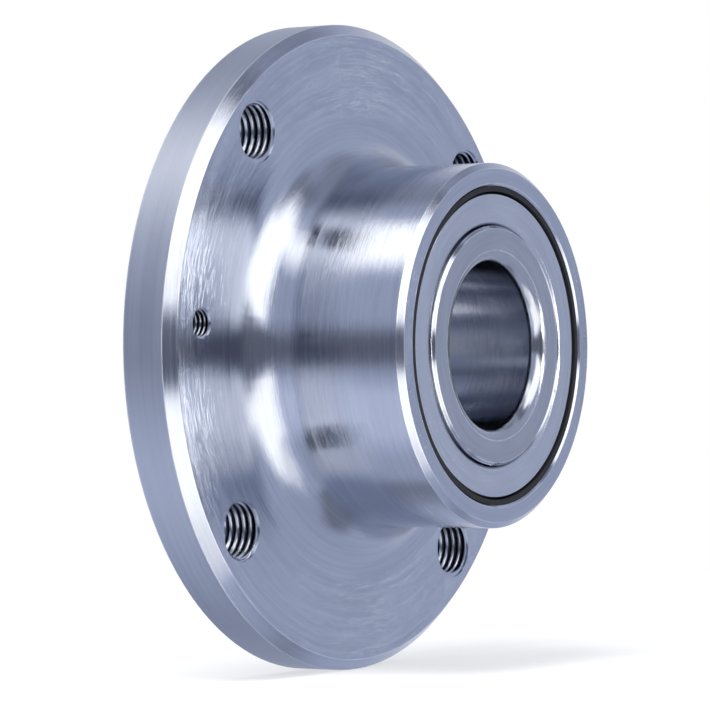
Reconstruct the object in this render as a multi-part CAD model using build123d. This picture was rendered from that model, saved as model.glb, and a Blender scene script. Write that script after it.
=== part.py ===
from build123d import *
import os
from math import cos, radians, sin, sqrt

# Wheel hub bearing with a turning outer ring. The hub axis is the Y axis. The wheel mounting
# face of the flange lies at Y = 0, the long inboard barrel points along -Y and the short
# wheel spigot along +Y. Sizes are in millimetres. Turned profiles are drawn in the XY plane,
# with X as the radius, and revolved about Y.

# flange and the holes through it
bolt_pcd = 108.0
bolt_count = 4
bolt_d = 12.0
bolt_phase = 40.0           # angle of the first hole, from +X towards +Z
bolt_mouth = 0.5            # chamfer on the wheel side
screw_d = 6.0               # brake disc screws, on the bolt circle
screw_count = 2
screw_phase = 175.0
screw_mouth = 0.5
rim_margin = 10.0           # bolt circle to rim
flange_t = 11.3
rim_chamfer = 2.1           # barrel side of the rim
rim_break = 0.5             # wheel side of the rim
root_r = 9.5                # hollow fillet between flange and barrel

# barrel and spigot
barrel_l = 43.8             # mounting face to the barrel's end
barrel_wall = 4.45          # outside the seal seat
barrel_edge = 1.1
spigot_h = 8.0
spigot_wall = 3.95
spigot_lead = 1.5
spigot_relief = 0.4         # groove in the face at the spigot's root, so that a wheel seats flat
relief_w = 1.5

# inner rings
bore_d = 32.0
ring_wall = 4.75            # bore to the bottom of the groove
high_lip = 2.55             # loaded shoulder above the groove's bottom, on the seal side
low_lip = 0.5               # open shoulder, on the middle side
ring_corner_r = 2.5         # bore corner, clears the spindle's own fillet
ring_edge = 0.5
ring_break = 0.3
ring_recess = 0.3           # ring face below the hub's end, still proud of the slinger

# balls and grooves
ball_d = 9.525
ball_count = 14
contact_angle = 35.0
conformity = 0.52           # groove radius over ball diameter
ball_clearance = 0.05       # ball to groove along the contact line
outer_lip = 2.0             # shoulder of the outer grooves, between the rows
grease_room = 4.7           # ball to seal pocket

# cages
cage_gap = 1.0              # cage to the inner ring's land
cage_shoulder_gap = 0.3     # cage to the outer ring's shoulder
pocket_clearance = 0.15
cage_web = 1.6              # behind the pockets
prong_reach = 2.6           # past the ball centre
cage_break = 0.3

# cassette seals
seal_depth = 6.0
seat_step = 0.625           # seal seat above the open side of the groove
seat_mouth = 0.35
slinger_t = 0.8
slinger_recess = 0.7
slinger_sleeve = 4.8
slinger_margin = 1.4        # slinger rim to seal seat
slinger_break = 0.25
bend_r = 0.7                # inside of every pressed bend
case_t = 0.6
case_recess = 1.1           # case rim below the hub's end
case_back_gap = 0.4         # case to the pocket's floor
case_hole_margin = 1.6      # case flange to the slinger's sleeve
rubber_recess = 0.3
rubber_skin = 0.5
rubber_relief = 0.1         # rubber nose to the seal seat
lip_gap = 0.1               # lip edge to the slinger
lip_tip = 0.35
lip_root = 0.8
axial_lip_lean = 1.3

# what follows from them
flange_r = bolt_pcd / 2 + rim_margin
ball_r = ball_d / 2
groove_r = conformity * ball_d
groove_shift = groove_r - ball_r - ball_clearance
shift_x = groove_shift * cos(radians(contact_angle))
shift_y = groove_shift * sin(radians(contact_angle))
bore_r = bore_d / 2
inner_bottom_r = bore_r + ring_wall
pitch_r = inner_bottom_r + groove_r - shift_x
outer_bottom_r = pitch_r - shift_x + groove_r
land_r = inner_bottom_r + high_lip
low_land_r = inner_bottom_r + low_lip
outer_shoulder_r = outer_bottom_r - outer_lip
seal_seat_r = outer_bottom_r + seat_step
barrel_r = seal_seat_r + barrel_wall
spigot_r = seal_seat_r + spigot_wall

# the bearing is the same on both sides of its middle plane
middle_y = (spigot_h - barrel_l) / 2
half_width = (spigot_h + barrel_l) / 2
pocket_floor = half_width - seal_depth
row_offset = pocket_floor - grease_room - ball_r
ring_face = half_width - ring_recess
slinger_face = half_width - slinger_recess
slinger_back = slinger_face - slinger_t
slinger_r = seal_seat_r - slinger_margin
sleeve_r = land_r + slinger_t
case_back = pocket_floor + case_back_gap
case_front = case_back + case_t
case_rim = half_width - case_recess
case_hole_r = sleeve_r + case_hole_margin


def half_chord(radius, rise):
    """Half the width of a circular groove, at a height above its bottom."""
    return sqrt(radius**2 - (radius - rise) ** 2)


def corner(face, x, y):
    """The corner of a profile that lies nearest to a point."""
    return face.vertices().sort_by_distance((x, y, 0))[0]


def turned(face):
    return revolve(face, axis=Axis.Y)


def seated(shape, side):
    """Moves a piece from the bearing's middle plane to its side of the hub."""
    if side == "inboard":
        shape = mirror(shape, about=Plane.XZ)
    return Pos(0, middle_y, 0) * shape


def around(count, phase, pitch_radius, shape):
    """Copies of a shape that stands along Y, spaced evenly round the hub axis."""
    copies = []
    for i in range(count):
        turn = Rot(0, -phase - i * 360 / count, 0)
        copies.append(turn * Pos(pitch_radius, 0, 0) * shape)
    return copies


def hub_blank():
    """Outside of the hub: spigot, flange, hollow fillet and barrel, still without a bore."""
    face_y = -flange_t
    outline = [
        Polyline(
            (0, spigot_h),
            (spigot_r - spigot_lead, spigot_h),
            (spigot_r, spigot_h - spigot_lead),
            (spigot_r, -spigot_relief),
            (spigot_r + relief_w, -spigot_relief),
            (spigot_r + relief_w, 0),
            (flange_r - rim_break, 0),
            (flange_r, -rim_break),
            (flange_r, face_y + rim_chamfer),
            (flange_r - rim_chamfer, face_y),
            (barrel_r + root_r, face_y),
        ),
        RadiusArc((barrel_r + root_r, face_y), (barrel_r, face_y - root_r), -root_r),
        Polyline(
            (barrel_r, face_y - root_r),
            (barrel_r, barrel_edge - barrel_l),
            (barrel_r - barrel_edge, -barrel_l),
            (0, -barrel_l),
            (0, spigot_h),
        ),
    ]
    return turned(make_face(outline))


def half_bearing_space():
    """The room inside one half of the hub: between the rows, outer groove and seal pocket."""
    centre_x = outer_bottom_r - groove_r
    centre_y = row_offset - shift_y
    lip_y = centre_y - half_chord(groove_r, outer_lip)
    mid_angle = radians(45)
    mid_x = centre_x + groove_r * cos(mid_angle)
    mid_y = centre_y - groove_r * sin(mid_angle)
    outline = [
        Polyline((0, 0), (outer_shoulder_r, 0), (outer_shoulder_r, lip_y)),
        ThreePointArc((outer_shoulder_r, lip_y), (mid_x, mid_y), (outer_bottom_r, centre_y)),
        Polyline(
            (outer_bottom_r, centre_y),
            (outer_bottom_r, pocket_floor),
            (seal_seat_r, pocket_floor),
            (seal_seat_r, half_width - seat_mouth),
            (seal_seat_r + seat_mouth, half_width),
            (0, half_width),
            (0, 0),
        ),
    ]
    return turned(make_face(outline))


def through_hole(diameter, mouth):
    """A hole through flange and fillet, with a chamfer on the wheel side."""
    depth = flange_t + root_r
    radius = diameter / 2
    face = make_face(
        Polyline(
            (0, 0),
            (radius + mouth, 0),
            (radius, -mouth),
            (radius, -depth),
            (0, -depth),
            close=True,
        )
    )
    return turned(face)


def hub_flange():
    hub = hub_blank()
    hub -= seated(half_bearing_space(), "inboard")
    hub -= seated(half_bearing_space(), "outboard")
    for hole in around(bolt_count, bolt_phase, bolt_pcd / 2, through_hole(bolt_d, bolt_mouth)):
        hub -= hole
    for hole in around(screw_count, screw_phase, bolt_pcd / 2, through_hole(screw_d, screw_mouth)):
        hub -= hole
    return hub


def inner_ring():
    """One of two rings, with its deep shoulder and seal land towards the end of the bearing."""
    centre_x = inner_bottom_r + groove_r
    centre_y = row_offset + shift_y
    low_y = centre_y - half_chord(groove_r, low_lip)
    high_y = centre_y + half_chord(groove_r, high_lip)
    outline = [
        Polyline((bore_r, 0), (low_land_r, 0), (low_land_r, low_y)),
        ThreePointArc((low_land_r, low_y), (centre_x - groove_r, centre_y), (land_r, high_y)),
        Polyline((land_r, high_y), (land_r, ring_face), (bore_r, ring_face), (bore_r, 0)),
    ]
    face = make_face(outline)
    face = fillet(corner(face, bore_r, ring_face), ring_corner_r)
    face = chamfer(corner(face, land_r, ring_face), ring_edge)
    face = chamfer(corner(face, low_land_r, 0), ring_break)
    face = chamfer(corner(face, bore_r, 0), ring_break)
    return turned(face)


def slinger():
    """Pressed ring on the inner ring's land, with its flange outside the rubber lips."""
    sleeve_end = slinger_face - slinger_sleeve
    face = make_face(
        Polyline(
            (land_r, sleeve_end),
            (sleeve_r, sleeve_end),
            (sleeve_r, slinger_back),
            (slinger_r, slinger_back),
            (slinger_r, slinger_face),
            (land_r, slinger_face),
            close=True,
        )
    )
    face = fillet(corner(face, land_r, slinger_face), bend_r + slinger_t)
    face = chamfer(corner(face, sleeve_r, slinger_back), bend_r)
    face = chamfer(corner(face, slinger_r, slinger_face), slinger_break)
    face = chamfer(corner(face, slinger_r, slinger_back), slinger_break)
    return turned(face)


def seal_case():
    """Pressed cup in the hub's seal seat, which carries the rubber."""
    inner_wall_r = seal_seat_r - case_t
    face = make_face(
        Polyline(
            (case_hole_r, case_back),
            (seal_seat_r, case_back),
            (seal_seat_r, case_rim),
            (inner_wall_r, case_rim),
            (inner_wall_r, case_front),
            (case_hole_r, case_front),
            close=True,
        )
    )
    # the outer chamfer follows from the inner one, so that the bend keeps the metal's thickness
    face = chamfer(corner(face, seal_seat_r, case_back), bend_r + (2 - sqrt(2)) * case_t)
    face = chamfer(corner(face, inner_wall_r, case_front), bend_r)
    return turned(face)


def seal_rubber():
    """Rubber moulded on the case: a nose over its rim, a radial lip and an axial lip."""
    nose_front = half_width - rubber_recess
    nose_in_r = seal_seat_r - case_t - rubber_skin
    web_front = case_front + rubber_skin
    web_in_r = case_hole_r - rubber_skin
    body = make_face(
        Polyline(
            (web_in_r, case_back),
            (case_hole_r, case_back),
            (case_hole_r, case_front),
            (seal_seat_r - case_t, case_front),
            (seal_seat_r - case_t, case_rim),
            (seal_seat_r - rubber_relief, case_rim),
            (seal_seat_r - rubber_relief, nose_front),
            (nose_in_r, nose_front),
            (nose_in_r, web_front),
            (web_in_r, web_front),
            close=True,
        )
    )
    radial_tip_x = sleeve_r + lip_gap
    radial_tip_y = web_front + lip_root
    radial_lip = make_face(
        Polyline(
            (web_in_r, case_front),
            (case_hole_r, web_front),
            (radial_tip_x + lip_tip, radial_tip_y + lip_tip),
            (radial_tip_x, radial_tip_y),
            close=True,
        )
    )
    axial_root_x = (web_in_r + nose_in_r) / 2 - lip_root
    axial_tip_y = slinger_back - lip_gap
    axial_lip = make_face(
        Polyline(
            (axial_root_x, web_front - rubber_skin / 2),
            (axial_root_x + lip_root, web_front - rubber_skin / 2),
            (axial_root_x + axial_lip_lean + lip_tip, axial_tip_y - lip_tip),
            (axial_root_x + axial_lip_lean, axial_tip_y),
            close=True,
        )
    )
    return turned(body + radial_lip + axial_lip) - seal_case()


def cage():
    """Moulded snap cage: a ring behind the balls with open pockets towards the middle."""
    in_r = land_r + cage_gap
    out_r = outer_shoulder_r - cage_shoulder_gap
    pocket_r = ball_r + pocket_clearance
    front_y = row_offset - prong_reach
    back_y = row_offset + pocket_r + cage_web
    face = make_face(
        Polyline((in_r, front_y), (out_r, front_y), (out_r, back_y), (in_r, back_y), close=True)
    )
    face = chamfer(face.vertices(), cage_break)
    # each pocket's poles point in and out of the cage and its seam faces the open side
    pocket = Plane(origin=(0, row_offset, 0), x_dir=(0, -1, 0), z_dir=(1, 0, 0)) * Sphere(pocket_r)
    return turned(face) - around(ball_count, 0, pitch_r, pocket)


def ball_row():
    return around(ball_count, 0, pitch_r, Pos(0, row_offset, 0) * Sphere(ball_r))


nodes = {"hub_flange": hub_flange()}
for side in ("inboard", "outboard"):
    nodes[f"inner_ring_{side}"] = seated(inner_ring(), side)
    nodes[f"slinger_{side}"] = seated(slinger(), side)
    nodes[f"seal_case_{side}"] = seated(seal_case(), side)
    nodes[f"seal_rubber_{side}"] = seated(seal_rubber(), side)
    nodes[f"cage_{side}"] = seated(cage(), side)
    for number, ball in enumerate(ball_row(), start=1):
        nodes[f"ball_{side}_{number:02d}"] = seated(ball, side)

os.makedirs("parts", exist_ok=True)
for name, shape in nodes.items():
    export_step(shape, f"parts/{name}.step")
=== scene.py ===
import bpy
from math import cos, pi, radians, sin
from mathutils import Matrix, Vector


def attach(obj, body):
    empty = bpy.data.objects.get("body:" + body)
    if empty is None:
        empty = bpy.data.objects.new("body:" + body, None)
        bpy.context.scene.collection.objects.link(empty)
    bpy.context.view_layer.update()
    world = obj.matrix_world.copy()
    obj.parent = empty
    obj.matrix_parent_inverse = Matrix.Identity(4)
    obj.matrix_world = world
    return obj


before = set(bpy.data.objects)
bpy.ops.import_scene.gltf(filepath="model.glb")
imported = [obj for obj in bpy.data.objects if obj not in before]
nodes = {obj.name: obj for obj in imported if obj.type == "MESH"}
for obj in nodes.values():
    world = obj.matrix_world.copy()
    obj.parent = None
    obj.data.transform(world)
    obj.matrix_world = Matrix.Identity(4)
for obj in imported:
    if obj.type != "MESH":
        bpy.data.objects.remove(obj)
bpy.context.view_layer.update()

mm = 0.001
print("frame loaded:", len(nodes), "nodes")


# one output socket of a shader tree; a sum written with it adds its Math nodes
class Wire:
    def __init__(self, tree, socket=None):
        self.tree = tree
        self.socket = socket

    # any node: settings go first, then the sockets by name or number
    def add(self, kind, settings={}, inputs={}, output=0):
        node = self.tree.nodes.new("ShaderNode" + kind)
        for name, value in settings.items():
            setattr(node, name, value)
        for name, value in inputs.items():
            if isinstance(value, Wire):
                self.tree.links.new(value.socket, node.inputs[name])
            else:
                node.inputs[name].default_value = value
        return Wire(self.tree, node.outputs[output]) if node.outputs else node

    def pick(self, output):
        return Wire(self.tree, self.socket.node.outputs[output])

    def math(self, operation, *values):
        return self.add("Math", {"operation": operation}, dict(enumerate(values)))

    def __add__(self, other):
        return self.math("ADD", self, other)

    def __radd__(self, other):
        return self.math("ADD", other, self)

    def __sub__(self, other):
        return self.math("SUBTRACT", self, other)

    def __rsub__(self, other):
        return self.math("SUBTRACT", other, self)

    def __mul__(self, other):
        return self.math("MULTIPLY", self, other)

    def __rmul__(self, other):
        return self.math("MULTIPLY", other, self)

    def __truediv__(self, other):
        return self.math("DIVIDE", self, other)

    # 0 below low, 1 above high, smooth between
    def rise(self, low, high):
        return self.add("MapRange", {"interpolation_type": "SMOOTHSTEP"}, {0: self, 1: low, 2: high})

    def band(self, low, high, soft):
        return self.rise(low - soft, low + soft) * (1 - self.rise(high - soft, high + soft))

    def blend(self, start, end):
        return self.add("Mix", {"data_type": "RGBA"}, {0: self, 6: start, 7: end}, 2)

    def between(self, start, end):
        return self.add("Mix", {"data_type": "FLOAT"}, {0: self, 2: start, 3: end})

    def noise(self, scale, detail=2.0, roughness=0.5):
        return self.add("TexNoise", {}, {"Vector": self, "Scale": scale, "Detail": detail, "Roughness": roughness})


def newMaterial(name):
    material = bpy.data.materials.new(name)
    material.use_nodes = True
    material.node_tree.nodes.clear()
    return material, Wire(material.node_tree)


def finishMaterial(start, inputs):
    shader = start.add("BsdfPrincipled", {}, inputs)
    start.add("OutputMaterial", {}, {"Surface": shader})


def paint(material, slotName):
    for node in nodes.values():
        for slot in node.material_slots:
            if slot.material and slot.material.name.split(".")[0] == slotName:
                slot.material = material


# camera
cameraSet = {
    "turn": radians(56.88),     # hub axis to line of sight
    "roll": radians(0.632),
    "flangeRadius": 64 * mm,
    "distance": 12.865,         # this and the aim are in flange radii
    "aimX": -0.1363,
    "aimY": 0.0225,
    "lens": 208.74, "sensor": 36,
    "clipStart": 0.01,
}


def cameraAxes():
    turn, roll = cameraSet["turn"], cameraSet["roll"]
    level = Vector((cos(turn), -sin(turn), 0))
    up = Vector((0, 0, 1))
    back = Vector((-sin(turn), -cos(turn), 0))
    return cos(roll) * level - sin(roll) * up, sin(roll) * level + cos(roll) * up, back


def addCamera():
    right, tilted, back = cameraAxes()
    offset = -cameraSet["aimX"] * right - cameraSet["aimY"] * tilted + cameraSet["distance"] * back
    data = bpy.data.cameras.new("camera")
    data.lens = cameraSet["lens"]
    data.sensor_width = cameraSet["sensor"]
    data.clip_start = cameraSet["clipStart"]
    camera = bpy.data.objects.new("camera", data)
    camera.matrix_world = Matrix((right, tilted, back)).transposed().to_4x4()
    camera.location = cameraSet["flangeRadius"] * offset
    bpy.context.scene.collection.objects.link(camera)
    bpy.context.scene.camera = camera


addCamera()
print("camera set")


# studio: a grey room with soft boxes and black cards round the hub
studio = {
    "room": 0.6, "roomTint": (0.88, 0.97, 1.24), "boxTint": (1.0, 0.99, 0.97),
    "boxLevel": (0.7, 1.6),     # brightness over which the room's tint turns to the boxes'
    "panels": [                 # side and height in degrees, side from the camera and to its right
        {"side": (-200, 200), "height": (68, 95), "soft": 5, "level": 0.34},
        {"side": (-70, 40), "height": (70, 95), "soft": 7, "level": 0.68},
        {"side": (110, 250), "height": (42, 95), "soft": 7, "level": 0.4},
        {"side": (-250, -140), "height": (42, 95), "soft": 7, "level": 0.4},
        {"side": (60, 96), "height": (38, 95), "soft": 6, "level": 0.28},
        {"side": (-116, -60), "height": (42, 61), "soft": 5, "level": 2.3},
        {"side": (-64, 56), "height": (48, 67), "soft": 6, "level": 2.0},
        {"side": (14, 68), "height": (30, 58), "soft": 5, "level": 2.3},
        {"side": (14, 76), "height": (10, 34), "soft": 3, "level": 2.3},
        {"side": (75, 90), "height": (4.4, 7.2), "soft": 1, "level": 18.0},
        {"side": (88, 101), "height": (2.7, 4.6), "soft": 0.7, "level": 18.0},
        {"side": (-4, 62), "height": (-46, -10), "soft": 5, "level": 2.1},
        {"side": (60, 76), "height": (-16, -6), "soft": 3, "level": 2.1},
        {"side": (75, 90), "height": (-6.3, -3.6), "soft": 1, "level": 15.0},
        {"side": (88, 101), "height": (-4, -2.1), "soft": 0.7, "level": 15.0},
        {"side": (10, 56), "height": (-68, -44), "soft": 6, "level": 1.4},
        {"side": (-105, 0), "height": (-50, -20), "soft": 6, "level": 0.95},
        {"side": (-95, 70), "height": (-10, 9), "soft": 3, "level": 0.2},
        {"side": (60, 104), "height": (-2.5, 3), "soft": 1.5, "level": 0.12},
        {"side": (126, 166), "height": (-6, 6), "soft": 3, "level": 0.12},
        {"side": (110, 250), "height": (-95, -52), "soft": 8, "level": 0.3},
        {"side": (-250, -130), "height": (-95, -50), "soft": 8, "level": 0.3},
    ],
    "backdrop": {"side": (-200, -140), "otherSide": (140, 200), "height": (-20, 30), "soft": 10,
                 "mirrored": 0.5},      # share of the white that metal sees behind the hub
}


def buildStudio():
    world = bpy.data.worlds.new("studio")
    bpy.context.scene.world = world
    world.use_nodes = True
    world.node_tree.nodes.clear()
    start = Wire(world.node_tree)
    direction = start.add("TexCoord", {}, {}, "Generated")
    level = Vector((cos(cameraSet["turn"]), -sin(cameraSet["turn"]), 0))
    up, back = Vector((0, 0, 1)), cameraAxes()[2]
    across, height, towards = [
        start.add("VectorMath", {"operation": "DOT_PRODUCT"}, {0: direction, 1: axis}, "Value")
        for axis in (level, up, back)
    ]
    side = start.math("ARCTAN2", across, towards) * (180 / pi)
    lift = start.math("ARCSINE", height) * (180 / pi)
    light = studio["room"]
    for panel in studio["panels"]:
        mask = side.band(*panel["side"], panel["soft"]) * lift.band(*panel["height"], panel["soft"])
        light = mask.between(light, panel["level"])
    tint = light.rise(*studio["boxLevel"]).blend((*studio["roomTint"], 1), (*studio["boxTint"], 1))
    room = start.add("Background", {}, {"Color": tint, "Strength": light})
    white = start.add("Background", {}, {"Color": (1, 1, 1, 1), "Strength": 1.0})
    rays = start.add("LightPath", {}, {}, "Is Camera Ray")
    cloth = studio["backdrop"]
    behind = side.band(*cloth["side"], cloth["soft"]) + side.band(*cloth["otherSide"], cloth["soft"])
    behind = behind * lift.band(*cloth["height"], cloth["soft"])
    shown = rays.math("MAXIMUM", rays, rays.pick("Is Glossy Ray") * behind * cloth["mirrored"])
    surface = start.add("MixShader", {}, {0: shown, 1: room, 2: white})
    start.add("OutputWorld", {}, {"Surface": surface})


keyLamp = {"side": -20, "height": 58, "distance": 0.9, "size": 0.5, "energy": 9.0}


def addLamp():
    right, tilted, back = cameraAxes()
    side, height = radians(keyLamp["side"]), radians(keyLamp["height"])
    towards = cos(height) * (cos(side) * back + sin(side) * right) + sin(height) * Vector((0, 0, 1))
    bpy.ops.object.light_add(type="AREA", location=keyLamp["distance"] * towards)
    lamp = bpy.context.object
    lamp.name = "keyLamp"
    lamp.data.shape = "DISK"
    lamp.data.size = keyLamp["size"]
    lamp.data.energy = keyLamp["energy"]
    lamp.rotation_euler = towards.to_track_quat("Z", "Y").to_euler()
    lamp.visible_glossy = False     # metal sees the room's soft boxes alone


floorSet = {
    "level": -64 * mm, "size": 30.0,
    "tone": 0.86, "grain": 900, "speckle": 0.01,
    "shade": 0.4, "near": 0.16, "far": 0.5,     # shadow kept near the hub, in metres
}


def addFloor():
    bpy.ops.mesh.primitive_plane_add(size=floorSet["size"], location=(0, 0, floorSet["level"]))
    floor = bpy.context.object
    floor.name = "floor"
    bpy.ops.object.transform_apply(location=True)
    material, start = newMaterial("paleFloor")
    place = start.add("TexCoord", {}, {}, "Object")
    away = start.add("VectorMath", {"operation": "LENGTH"}, {0: place}, "Value")
    far = away.rise(floorSet["near"], floorSet["far"])
    grain = place.noise(floorSet["grain"], 3)
    darker, lighter = floorSet["tone"] - floorSet["speckle"], floorSet["tone"] + floorSet["speckle"]
    colour = grain.blend((darker, darker, darker, 1), (lighter, lighter, lighter, 1))
    matt = start.add("BsdfDiffuse", {}, {"Color": colour})
    white = start.add("Emission", {}, {"Color": (1, 1, 1, 1), "Strength": 1.0})
    camera = start.add("LightPath", {}, {}, "Is Camera Ray")
    shown = camera * far.between(1 - floorSet["shade"], 1.0)
    surface = start.add("MixShader", {}, {0: shown, 1: matt, 2: white})
    start.add("OutputMaterial", {}, {"Surface": surface})
    floor.data.materials.append(material)
    floor.visible_glossy = False


buildStudio()
addLamp()
addFloor()
bpy.context.scene.view_settings.view_transform = "Standard"
print("studio lit")


# turned steel: grooves run round the hub's axis, spaced along the turned profile
grooves = {
    "reach": (9.0, 2.0, 1.5),               # how often fine, medium and broad lines change in a turn
    "faceFrom": 5.5, "faceSoft": 1.2,       # where the rough flat faces start, in mm
    "patches": 70, "patchDetail": 3, "patchRoughness": 0.6,
    "toneShare": (0.4, 0.35, 0.25),         # medium lines, broad lines, patches
    "spread": (0.3, 0.7),
    "wearAndHighlightSpread": (0.75, 1.15),
}
hubSteel = {
    "slot": "hub_steel",
    "dark": (0.44, 0.46, 0.53), "light": (0.50, 0.53, 0.60),
    "middle": -5.65, "outward": -1,         # along = r - |y - middle|
    "pitch": (0.07, 0.8, 4.0),              # fine, medium and broad lines, in mm
    "depth": (0.012, 0.014, 0.02),          # their heights, in mm
    "rough": (46.5, 61.5), "roughDepth": 0.024,    # the flat faces are cut deeper
    "roughness": (0.10, 0.17),
    "rimRadius": 63.95, "rimRoughness": 0.32,
    "holeCircle": 54,
    "holes": [{"angles": (40, 130, 220, 310), "root": 6.05, "crest": 5.22},
              {"angles": (175, 355), "root": 3.04, "crest": 2.48}],
    # painted shade: near-black colour for the flange holes' walls and thread roots, and how far from the flange's
    # middle it reaches, in mm
    "paintedHoleShade": (0.05, 0.05, 0.06), "holeShadeEnd": 5.15,
    # corners whose edges are painted lighter: partly real wear, partly a painted highlight
    "edges": [(64, -9.2), (61.9, -11.3), (35.5, -42.7), (34.4, -43.8), (31.4, -43.8), (64, -0.5), (63.5, 0),
              (35, 6.5), (33.5, 8)],
    "edgeWidth": 0.3, "wearAndHighlight": (0.66, 0.68, 0.73),
}
ringSteel = {
    "slot": "ring_steel",
    "dark": (0.40, 0.415, 0.46), "light": (0.46, 0.475, 0.52),
    "middle": -17.9, "outward": 1,
    "boreRadius": 16.1, "paintedBoreLight": (0.47, 0.49, 0.54),
    "pitch": (0.16, 0.7, 3.0),
    "depth": (0.014, 0.01, 0.01),
    "roughness": (0.10, 0.16),
    "edges": [(22.8, -43.5), (23.3, -43), (18.5, -43.5), (22.8, 7.7), (23.3, 7.2), (18.5, 7.7)],
    "edgeWidth": 0.25, "wearAndHighlight": (0.68, 0.70, 0.74),
}
slingerSteel = {
    "slot": "slinger_steel",
    "dark": (0.49, 0.51, 0.56), "light": (0.55, 0.58, 0.63),
    "middle": -17.9, "outward": 1,
    "pitch": (0.14, 0.8, 3.5),
    "depth": (0.01, 0.008, 0.012),
    "roughness": (0.14, 0.22),
    "edges": [(29.6, -43.1), (29.6, 7.3)],
    "edgeWidth": 0.2, "wearAndHighlight": (0.65, 0.67, 0.71),
}
caseSteel = {
    "slot": "case_steel",
    "dark": (0.34, 0.35, 0.38), "light": (0.44, 0.45, 0.48),
    "middle": -17.9, "outward": 1,
    "pitch": (0.2, 0.9, 4.0),
    "depth": (0.008, 0.008, 0.01),
    "roughness": (0.26, 0.36),
    "edges": [(31, -42.7), (31, 6.9)],
    "edgeWidth": 0.2, "wearAndHighlight": (0.52, 0.53, 0.56),
}


def turnedSteel(look):
    material, start = newMaterial(look["slot"] + "Turned")
    place = start.add("TexCoord", {}, {}, "Object")
    x = start.add("SeparateXYZ", {}, {0: place})
    y, z = x.pick("Y"), x.pick("Z")
    radius = start.math("SQRT", x * x + z * z)
    across = start.math("ABSOLUTE", y - look["middle"] * mm)
    along = radius + look["outward"] * across
    roundX, roundZ = x / radius, z / radius
    plan = start.add("CombineXYZ", {}, {0: x, 2: z})

    # lines of one spacing, each reach of the turn long
    def lines(pitch, reach, detail=1.0):
        stretched = start.add("CombineXYZ", {}, {0: along / (pitch * mm), 1: roundX * reach, 2: roundZ * reach})
        return stretched.noise(1.0, detail)

    fine, medium, broad = [lines(pitch, reach) for pitch, reach in zip(look["pitch"], grooves["reach"])]
    patches = place.noise(grooves["patches"], grooves["patchDetail"], grooves["patchRoughness"])
    height = fine * look["depth"][0]
    if "rough" in look:
        inner, outer = look["rough"]
        face = radius.band(inner * mm, outer * mm, grooves["faceSoft"] * mm)
        face = face * across.rise(grooves["faceFrom"] * mm, (grooves["faceFrom"] + 0.1) * mm)
        height = fine * (face * (look["roughDepth"] - look["depth"][0]) + look["depth"][0])
    height = height + medium * look["depth"][1] + broad * look["depth"][2]
    normal = start.add("Bump", {}, {"Strength": 1.0, "Distance": mm, "Height": height})
    mediumShare, broadShare, patchShare = grooves["toneShare"]
    tone = (medium * mediumShare + broad * broadShare + patches * patchShare).rise(*grooves["spread"])
    colour = tone.blend((*look["dark"], 1), (*look["light"], 1))
    section = start.add("CombineXYZ", {}, {0: radius, 1: y})
    nearest = 1.0       # a metre, past every edge
    for edgeRadius, edgeY in look["edges"]:
        corner = (edgeRadius * mm, edgeY * mm, 0)
        away = start.add("VectorMath", {"operation": "DISTANCE"}, {0: section, 1: corner}, "Value")
        nearest = start.math("MINIMUM", nearest, away)
    # edges near the listed corners turn lighter, broken up by noise: partly real wear, partly a painted highlight
    edge = (1 - nearest.rise(0.0, look["edgeWidth"] * mm)) * (fine + patches).rise(*grooves["wearAndHighlightSpread"])
    colour = edge.blend(colour, (*look["wearAndHighlight"], 1))
    roughness = (patches * 0.5 + medium * 0.5).rise(*grooves["spread"]).between(*look["roughness"])
    # painted shade: inside the flange holes the walls and thread roots are darkened to near black, deepest toward
    # the roots
    for hole in look.get("holes", []):
        nearest = 1.0
        for angle in hole["angles"]:
            circle, turn = look["holeCircle"] * mm, radians(angle)
            centre = (circle * cos(turn), 0, circle * sin(turn))
            away = start.add("VectorMath", {"operation": "DISTANCE"}, {0: plan, 1: centre}, "Value")
            nearest = start.math("MINIMUM", nearest, away)
        inside = 1 - nearest.rise((hole["root"] + 0.01) * mm, (hole["root"] + 0.05) * mm)
        inside = inside * (1 - across.rise(look["holeShadeEnd"] * mm, (look["holeShadeEnd"] + 0.2) * mm))
        depth = nearest.rise((hole["crest"] + 0.1) * mm, (hole["root"] - 0.12) * mm)
        colour = (inside * depth).blend(colour, (*look["paintedHoleShade"], 1))
    if "rimRadius" in look:
        rim = radius.rise((look["rimRadius"] - 0.1) * mm, look["rimRadius"] * mm)
        roughness = roughness + rim * look["rimRoughness"]
    # painted light: inside the bore the ring steel gets a lighter colour than elsewhere so the bore renders
    # brighter
    if "boreRadius" in look:
        bore = 1 - radius.rise(look["boreRadius"] * mm, (look["boreRadius"] + 0.2) * mm)
        colour = bore.blend(colour, (*look["paintedBoreLight"], 1))
    finishMaterial(start, {
        "Base Color": colour, "Metallic": 1.0, "Roughness": roughness, "Normal": normal,
    })
    paint(material, look["slot"])
    return material


for look in (hubSteel, ringSteel, slingerSteel, caseSteel):
    look["material"] = turnedSteel(look)
print("turned steel done")


# seal rubber, cage plastic and ball steel
sealRubber = {"slot": "seal_rubber", "dark": (0.007, 0.007, 0.009), "light": (0.018, 0.018, 0.021),
              "grain": 2600, "roughness": (0.5, 0.68), "depth": 0.02, "shine": 0.2}
cageNylon = {"slot": "cage_nylon", "dark": (0.62, 0.56, 0.42), "light": (0.78, 0.73, 0.60),
             "grain": 900, "roughness": (0.38, 0.55), "depth": 0.02}
ballSteel = {"slot": "ball_steel", "dark": (0.74, 0.74, 0.75), "light": (0.82, 0.82, 0.83),
             "grain": 1500, "roughness": (0.04, 0.08), "depth": 0.001}


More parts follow.
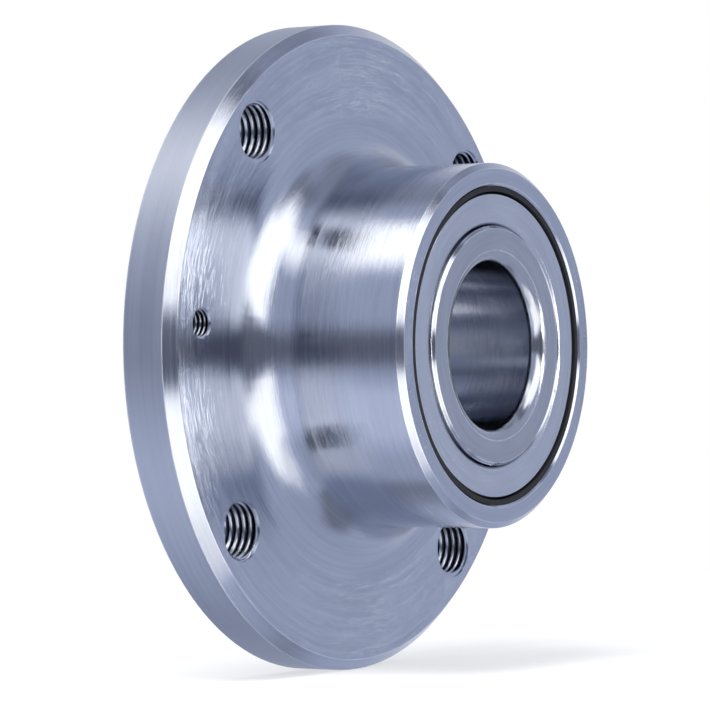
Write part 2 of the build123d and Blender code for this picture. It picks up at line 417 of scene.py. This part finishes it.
def grainySurface(look, metallic):
    material, start = newMaterial(look["slot"] + "Grain")
    place = start.add("TexCoord", {}, {}, "Object")
    grain = place.noise(look["grain"], 3, 0.6)
    clouds = place.noise(look["grain"] / 12, 3, 0.55)
    normal = start.add("Bump", {}, {"Strength": 1.0, "Distance": look["depth"] * mm, "Height": grain})
    colour = (grain * 0.3 + clouds * 0.7).rise(0.3, 0.7).blend((*look["dark"], 1), (*look["light"], 1))
    finishMaterial(start, {
        "Base Color": colour, "Metallic": metallic, "Normal": normal,
        "Roughness": clouds.rise(0.35, 0.65).between(*look["roughness"]),
        "Specular IOR Level": look.get("shine", 0.5),
    })
    paint(material, look["slot"])


grainySurface(sealRubber, 0.0)
grainySurface(cageNylon, 0.0)
grainySurface(ballSteel, 1.0)
print("rubber, nylon and ball steel done")


# tapped threads in the flange
weld = {"cut": 0.0001, "doubles": 0.001, "smoothAngle": 35}     # mm, mm and degrees
boltThread = {"name": "boltThread", "circle": 54, "angles": (40, 130, 220, 310), "pitch": 1.5,
              "root": 6.05, "crest": 5.22, "rootWidth": 1.36, "crestWidth": 0.36,
              "from": -11.0, "to": -0.7, "steps": 56}
screwThread = {"name": "screwThread", "circle": 54, "angles": (175, 355), "pitch": 1.0,
               "root": 3.04, "crest": 2.48, "rootWidth": 0.9, "crestWidth": 0.25,
               "from": -11.0, "to": -0.7, "steps": 40}


def selectOnly(piece, kind, wanted):
    for group in (piece.data.vertices, piece.data.edges, piece.data.polygons):
        for member in group:
            member.select = False
    for member in getattr(piece.data, kind):
        member.select = wanted(member)


def tapThread(look):
    bpy.ops.object.select_all(action="DESELECT")
    middle, depth = (look["root"] + look["crest"]) / 2 * mm, (look["root"] - look["crest"]) * mm
    bpy.ops.mesh.primitive_plane_add(size=1, location=(middle, 0, 0))
    ridge = bpy.context.object
    ridge.name = look["name"]
    ridge.scale = (depth, look["rootWidth"] * mm, 1)
    low = (look["from"] - 2 * look["pitch"]) * mm
    ridge.location.y = low
    bpy.ops.object.transform_apply(location=True, scale=True)
    selectOnly(ridge, "vertices", lambda vertex: vertex.co.x < middle)
    bpy.ops.object.mode_set(mode="EDIT")
    bpy.ops.mesh.select_mode(type="VERT")
    narrow = look["crestWidth"] / look["rootWidth"]
    bpy.ops.transform.resize(value=(1, narrow, 1), center_override=(look["crest"] * mm, low, 0))
    bpy.ops.mesh.select_all(action="SELECT")
    bpy.ops.mesh.delete(type="ONLY_FACE")
    bpy.ops.object.mode_set(mode="OBJECT")
    turns = int((look["to"] - look["from"]) / look["pitch"]) + 5
    screw = ridge.modifiers.new("turns", "SCREW")
    screw.axis = "Y"
    screw.angle = 2 * pi
    screw.screw_offset = look["pitch"] * mm
    screw.iterations = turns
    screw.steps = look["steps"]
    screw.render_steps = look["steps"]
    bpy.ops.object.modifier_apply(modifier="turns")
    bpy.ops.object.mode_set(mode="EDIT")
    for cut, side in (("from", -1), ("to", 1)):
        bpy.ops.mesh.select_all(action="SELECT")
        bpy.ops.mesh.bisect(plane_co=(0, look[cut] * mm, 0), plane_no=(0, side, 0),
                            use_fill=True, clear_outer=True, threshold=weld["cut"] * mm)
    bpy.ops.mesh.select_all(action="SELECT")
    bpy.ops.mesh.remove_doubles(threshold=weld["doubles"] * mm)
    bpy.ops.mesh.normals_make_consistent(inside=False)
    bpy.ops.object.mode_set(mode="OBJECT")
    bpy.ops.object.shade_smooth_by_angle(angle=radians(weld["smoothAngle"]))
    ridge.data.materials.append(hubSteel["material"])
    return ridge


def placeThreads(look):
    first = tapThread(look)
    for number, angle in enumerate(look["angles"], 1):
        piece = first.copy()
        piece.data = first.data.copy()
        piece.name = look["name"] + "_" + str(number)
        bpy.context.scene.collection.objects.link(piece)
        turn = radians(angle)
        piece.location = (look["circle"] * mm * cos(turn), 0, look["circle"] * mm * sin(turn))
        bpy.ops.object.select_all(action="DESELECT")
        piece.select_set(True)
        bpy.context.view_layer.objects.active = piece
        bpy.ops.object.transform_apply(location=True)
        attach(piece, "hub")
    bpy.data.objects.remove(first)


placeThreads(boltThread)
placeThreads(screwThread)
print("threads tapped")
